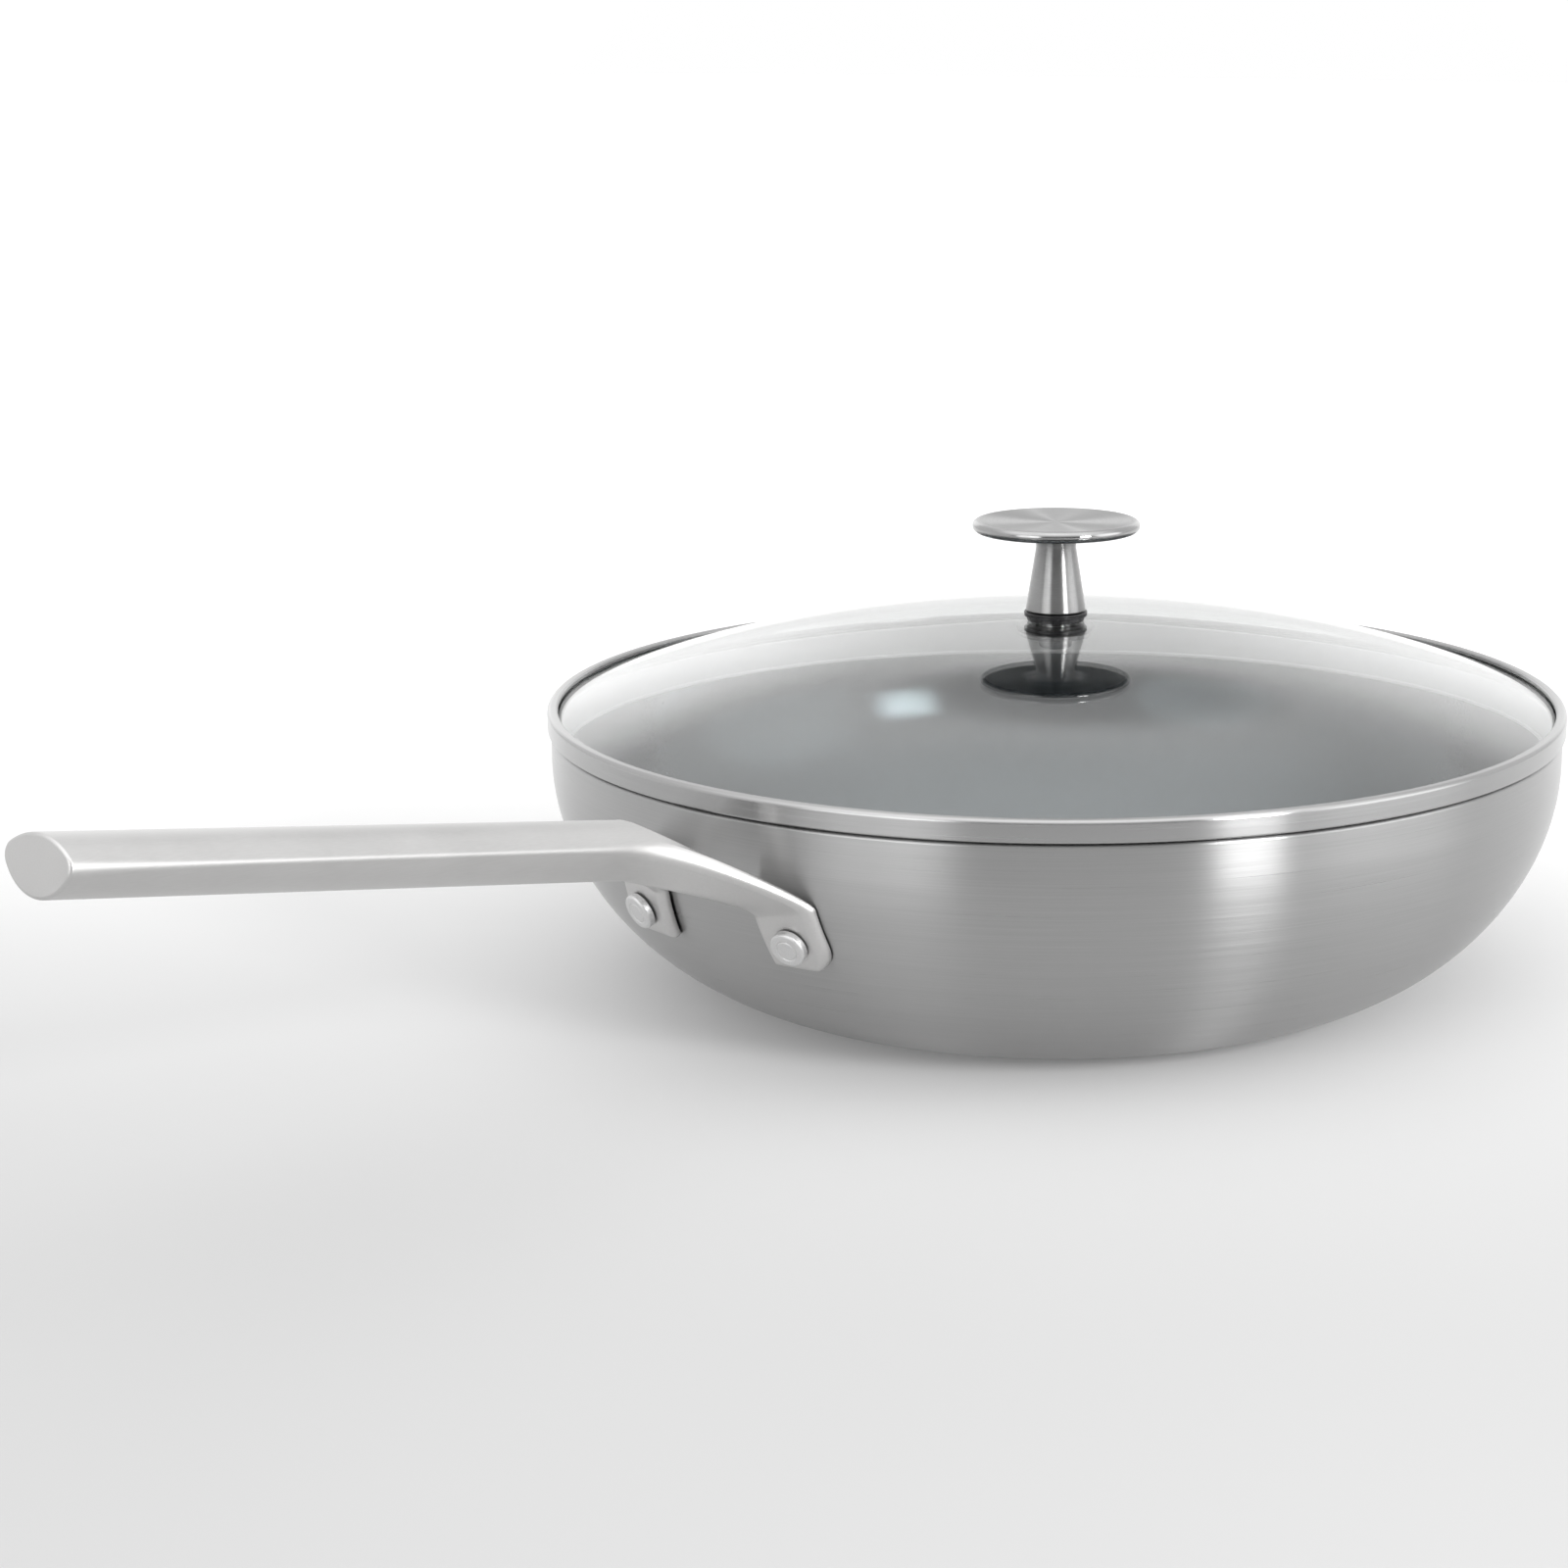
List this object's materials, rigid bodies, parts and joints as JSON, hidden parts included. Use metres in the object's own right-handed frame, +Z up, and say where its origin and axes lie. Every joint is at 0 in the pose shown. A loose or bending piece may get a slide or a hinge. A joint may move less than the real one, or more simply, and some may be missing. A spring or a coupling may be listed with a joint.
{
  "type": "wok with lid",
  "caption": "Shallow round steel wok with a grey non-stick lining, a forked steel handle riveted to its wall, and a domed glass lid in a steel band with a turned knob.",
  "frame": {"origin": "middle of the flat base's underside", "axes": "+Z up through the bowl's middle, the handle points along -X, +Y to the left seen from the handle's end looking at the bowl"},
  "size_m": [0.4792, 0.2884, 0.1292],
  "materials": {
    "brushed_body": "brushed round the bowl",
    "lining": "smooth semi-matt coating",
    "satin_handle": "fine satin",
    "polished_band": "polished satin",
    "glass": "clear, polished",
    "seal": "translucent pale silicone",
    "knob_steel": "turned satin with a polished edge",
    "gasket": "matt black silicone",
    "fastener": "plain bright"
  },
  "bodies": {
    "wok": {"wok_body": "brushed_body", "nonstick_lining": "lining", "handle": "satin_handle", "rivet_left": "satin_handle", "rivet_right": "satin_handle"},
    "lid": {"lid_band": "polished_band", "lid_glass": "glass", "rim_seal": "seal", "knob": "knob_steel", "knob_gasket": "gasket", "under_gasket": "gasket", "knob_washer": "fastener", "knob_screw": "fastener"}
  },
  "joints": [
    {"name": "lid_lift", "type": "slide", "parent": "wok", "child": "lid", "axis": [0, 0, 1], "range_m": [0, 0.12]}
  ]
}
